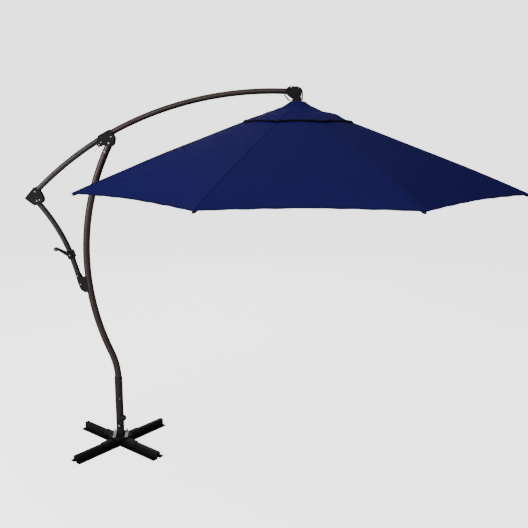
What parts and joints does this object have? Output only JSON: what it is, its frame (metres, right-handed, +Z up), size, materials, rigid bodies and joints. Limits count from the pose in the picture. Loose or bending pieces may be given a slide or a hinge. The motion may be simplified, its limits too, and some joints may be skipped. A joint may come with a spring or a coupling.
{
  "type": "patio umbrella with base",
  "caption": "Cantilever patio umbrella: cross base with post, swivelling S-curved mast, overhead boom with strut and lifting crank, and a folding octagonal vented canopy.",
  "frame": {"origin": "on the ground under the axis of the post, at the foot of the base saddle", "axes": "+Z up, +X from the mast to the canopy, +Y to the far side seen from the front"},
  "size_m": [3.2376, 2.7716, 2.546],
  "materials": {
    "mast_bronze": "satin",
    "boom_bronze": "satin bronze paint",
    "tube_graphite": "satin",
    "post_graphite": "satin",
    "base_black": "matt powder coat",
    "head_alloy": "black paint",
    "black_plastic": "moulded",
    "bright_steel": "zinc plated",
    "rib_alloy": "satin",
    "canopy_navy": "woven polyester"
  },
  "bodies": {
    "base": {"base_arm_1": "base_black", "base_arm_2": "base_black", "base_arm_3": "base_black", "base_arm_4": "base_black", "base_saddle": "base_black", "post_flange": "base_black", "stud_bar_left": "bright_steel", "stud_bar_right": "bright_steel", "post": "post_graphite", "post_collar": "black_plastic"},
    "clamp_knob": {"clamp_knob": "black_plastic"},
    "mast_frame": {"mast": "mast_bronze", "top_bracket": "base_black", "bolt_top_boom": "bright_steel", "bolt_top_tail": "bright_steel", "bolt_top_mast": "bright_steel", "tail_arm": "tube_graphite", "boom": "boom_bronze", "corner_bracket": "base_black", "bolt_corner_tail": "bright_steel", "bolt_corner_strut": "bright_steel", "strut_upper": "tube_graphite", "strut_lower": "tube_graphite", "lower_bracket": "base_black", "bolt_lower_upper": "bright_steel", "bolt_lower_lower": "bright_steel", "crank_housing": "head_alloy", "boom_head": "head_alloy", "hub_pin": "bright_steel"},
    "pull_pin": {"pull_pin": "bright_steel"},
    "crank": {"crank_arm": "black_plastic"},
    "crank_knob": {"crank_knob": "black_plastic"},
    "head_pulley": {"head_pulley": "black_plastic"},
    "canopy_head": {"canopy_hub": "black_plastic", "hub_yoke": "head_alloy"},
    "runner": {"runner": "black_plastic"},
    "rib_1": {"rib_1": "rib_alloy", "canopy_panel_1": "canopy_navy"},
    "stretcher_1": {"stretcher_1": "rib_alloy"},
    "rib_2": {"rib_2": "rib_alloy", "canopy_panel_2": "canopy_navy"},
    "stretcher_2": {"stretcher_2": "rib_alloy"},
    "rib_3": {"rib_3": "rib_alloy", "canopy_panel_3": "canopy_navy"},
    "stretcher_3": {"stretcher_3": "rib_alloy"},
    "rib_4": {"rib_4": "rib_alloy", "canopy_panel_4": "canopy_navy"},
    "stretcher_4": {"stretcher_4": "rib_alloy"},
    "rib_5": {"rib_5": "rib_alloy", "canopy_panel_5": "canopy_navy"},
    "stretcher_5": {"stretcher_5": "rib_alloy"},
    "rib_6": {"rib_6": "rib_alloy", "canopy_panel_6": "canopy_navy"},
    "stretcher_6": {"stretcher_6": "rib_alloy"},
    "rib_7": {"rib_7": "rib_alloy", "canopy_panel_7": "canopy_navy"},
    "stretcher_7": {"stretcher_7": "rib_alloy"},
    "rib_8": {"rib_8": "rib_alloy", "canopy_panel_8": "canopy_navy"},
    "stretcher_8": {"stretcher_8": "rib_alloy"}
  },
  "joints": [
    {"name": "mast_swivel", "type": "hinge", "parent": "base", "child": "mast_frame", "pos_m": [0, 0, 0.3], "axis": [0, 0, 1], "continuous": true},
    {"name": "clamp_knob_turn", "type": "hinge", "parent": "base", "child": "clamp_knob", "pos_m": [0.03064, -0.02571, 0.204], "axis": [0.766, -0.6428, 0], "continuous": true},
    {"name": "pull_pin_slide", "type": "slide", "parent": "mast_frame", "child": "pull_pin", "axis": [-0.6561, 0, -0.7547], "range_m": [0, 0.012], "stiffness_N_per_m": 400, "springref_m": -0.008},
    {"name": "crank_turn", "type": "hinge", "parent": "mast_frame", "child": "crank", "pos_m": [-0.29241, 0, 1.408], "axis": [0, 1, 0], "range_deg": [0, 3240]},
    {"name": "crank_knob_spin", "type": "hinge", "parent": "crank", "child": "crank_knob", "pos_m": [-0.37641, 0, 1.455], "axis": [0, 1, 0], "continuous": true},
    {"name": "pulley_spin", "type": "hinge", "parent": "mast_frame", "child": "head_pulley", "pos_m": [1.27, 0, 2.49], "axis": [0, 1, 0], "continuous": true},
    {"name": "canopy_tilt", "type": "hinge", "parent": "mast_frame", "child": "canopy_head", "pos_m": [1.27, 0, 2.49], "axis": [0, 1, 0], "range_deg": [-15, 0]},
    {"name": "rib_1_fold", "type": "hinge", "parent": "canopy_head", "child": "rib_1", "pos_m": [1.31804, 0.0199, 2.41909], "axis": [-0.3827, 0.9239, 0], "range_deg": [0, 66], "deforming": ["canopy_panel_1"]},
    {"name": "stretcher_1_fold", "type": "hinge", "parent": "rib_1", "child": "stretcher_1", "pos_m": [1.90748, 0.26405, 2.16961], "axis": [-0.3827, 0.9239, 0], "range_deg": [-132, 0]},
    {"name": "runner_level", "type": "hinge", "parent": "stretcher_1", "child": "runner", "pos_m": [1.31804, 0.0199, 1.92013], "axis": [-0.3827, 0.9239, 0], "range_deg": [0, 66]},
    {"name": "rib_2_fold", "type": "hinge", "parent": "canopy_head", "child": "rib_2", "pos_m": [1.2899, 0.04804, 2.41909], "axis": [-0.9239, 0.3827, 0], "range_deg": [0, 66], "deforming": ["canopy_panel_2"]},
    {"name": "stretcher_2_fold", "type": "hinge", "parent": "rib_2", "child": "stretcher_2", "pos_m": [1.53405, 0.63748, 2.16961], "axis": [-0.9239, 0.3827, 0], "range_deg": [-132, 0]},
    {"name": "rib_3_fold", "type": "hinge", "parent": "canopy_head", "child": "rib_3", "pos_m": [1.2501, 0.04804, 2.41909], "axis": [-0.9239, -0.3827, 0], "range_deg": [0, 66], "deforming": ["canopy_panel_3"]},
    {"name": "stretcher_3_fold", "type": "hinge", "parent": "rib_3", "child": "stretcher_3", "pos_m": [1.00595, 0.63748, 2.16961], "axis": [-0.9239, -0.3827, 0], "range_deg": [-132, 0]},
    {"name": "rib_4_fold", "type": "hinge", "parent": "canopy_head", "child": "rib_4", "pos_m": [1.22196, 0.0199, 2.41909], "axis": [-0.3827, -0.9239, 0], "range_deg": [0, 66], "deforming": ["canopy_panel_4"]},
    {"name": "stretcher_4_fold", "type": "hinge", "parent": "rib_4", "child": "stretcher_4", "pos_m": [0.63252, 0.26405, 2.16961], "axis": [-0.3827, -0.9239, 0], "range_deg": [-132, 0]},
    {"name": "rib_5_fold", "type": "hinge", "parent": "canopy_head", "child": "rib_5", "pos_m": [1.22196, -0.0199, 2.41909], "axis": [0.3827, -0.9239, 0], "range_deg": [0, 66], "deforming": ["canopy_panel_5"]},
    {"name": "stretcher_5_fold", "type": "hinge", "parent": "rib_5", "child": "stretcher_5", "pos_m": [0.63252, -0.26405, 2.16961], "axis": [0.3827, -0.9239, 0], "range_deg": [-132, 0]},
    {"name": "rib_6_fold", "type": "hinge", "parent": "canopy_head", "child": "rib_6", "pos_m": [1.2501, -0.04804, 2.41909], "axis": [0.9239, -0.3827, 0], "range_deg": [0, 66], "deforming": ["canopy_panel_6"]},
    {"name": "stretcher_6_fold", "type": "hinge", "parent": "rib_6", "child": "stretcher_6", "pos_m": [1.00595, -0.63748, 2.16961], "axis": [0.9239, -0.3827, 0], "range_deg": [-132, 0]},
    {"name": "rib_7_fold", "type": "hinge", "parent": "canopy_head", "child": "rib_7", "pos_m": [1.2899, -0.04804, 2.41909], "axis": [0.9239, 0.3827, 0], "range_deg": [0, 66], "deforming": ["canopy_panel_7"]},
    {"name": "stretcher_7_fold", "type": "hinge", "parent": "rib_7", "child": "stretcher_7", "pos_m": [1.53405, -0.63748, 2.16961], "axis": [0.9239, 0.3827, 0], "range_deg": [-132, 0]},
    {"name": "rib_8_fold", "type": "hinge", "parent": "canopy_head", "child": "rib_8", "pos_m": [1.31804, -0.0199, 2.41909], "axis": [0.3827, 0.9239, 0], "range_deg": [0, 66], "deforming": ["canopy_panel_8"]},
    {"name": "stretcher_8_fold", "type": "hinge", "parent": "rib_8", "child": "stretcher_8", "pos_m": [1.90748, -0.26405, 2.16961], "axis": [0.3827, 0.9239, 0], "range_deg": [-132, 0]}
  ],
  "couplings": [
    {"joint": "stretcher_1_fold", "follows": "rib_1_fold", "ratio": -2},
    {"joint": "runner_level", "follows": "rib_1_fold", "ratio": 1},
    {"joint": "rib_2_fold", "follows": "rib_1_fold", "ratio": 1},
    {"joint": "stretcher_2_fold", "follows": "rib_1_fold", "ratio": -2},
    {"joint": "rib_3_fold", "follows": "rib_1_fold", "ratio": 1},
    {"joint": "stretcher_3_fold", "follows": "rib_1_fold", "ratio": -2},
    {"joint": "rib_4_fold", "follows": "rib_1_fold", "ratio": 1},
    {"joint": "stretcher_4_fold", "follows": "rib_1_fold", "ratio": -2},
    {"joint": "rib_5_fold", "follows": "rib_1_fold", "ratio": 1},
    {"joint": "stretcher_5_fold", "follows": "rib_1_fold", "ratio": -2},
    {"joint": "rib_6_fold", "follows": "rib_1_fold", "ratio": 1},
    {"joint": "stretcher_6_fold", "follows": "rib_1_fold", "ratio": -2},
    {"joint": "rib_7_fold", "follows": "rib_1_fold", "ratio": 1},
    {"joint": "stretcher_7_fold", "follows": "rib_1_fold", "ratio": -2},
    {"joint": "rib_8_fold", "follows": "rib_1_fold", "ratio": 1},
    {"joint": "stretcher_8_fold", "follows": "rib_1_fold", "ratio": -2},
    {"joint": "crank_turn", "follows": "rib_1_fold", "ratio": 49.091}
  ]
}
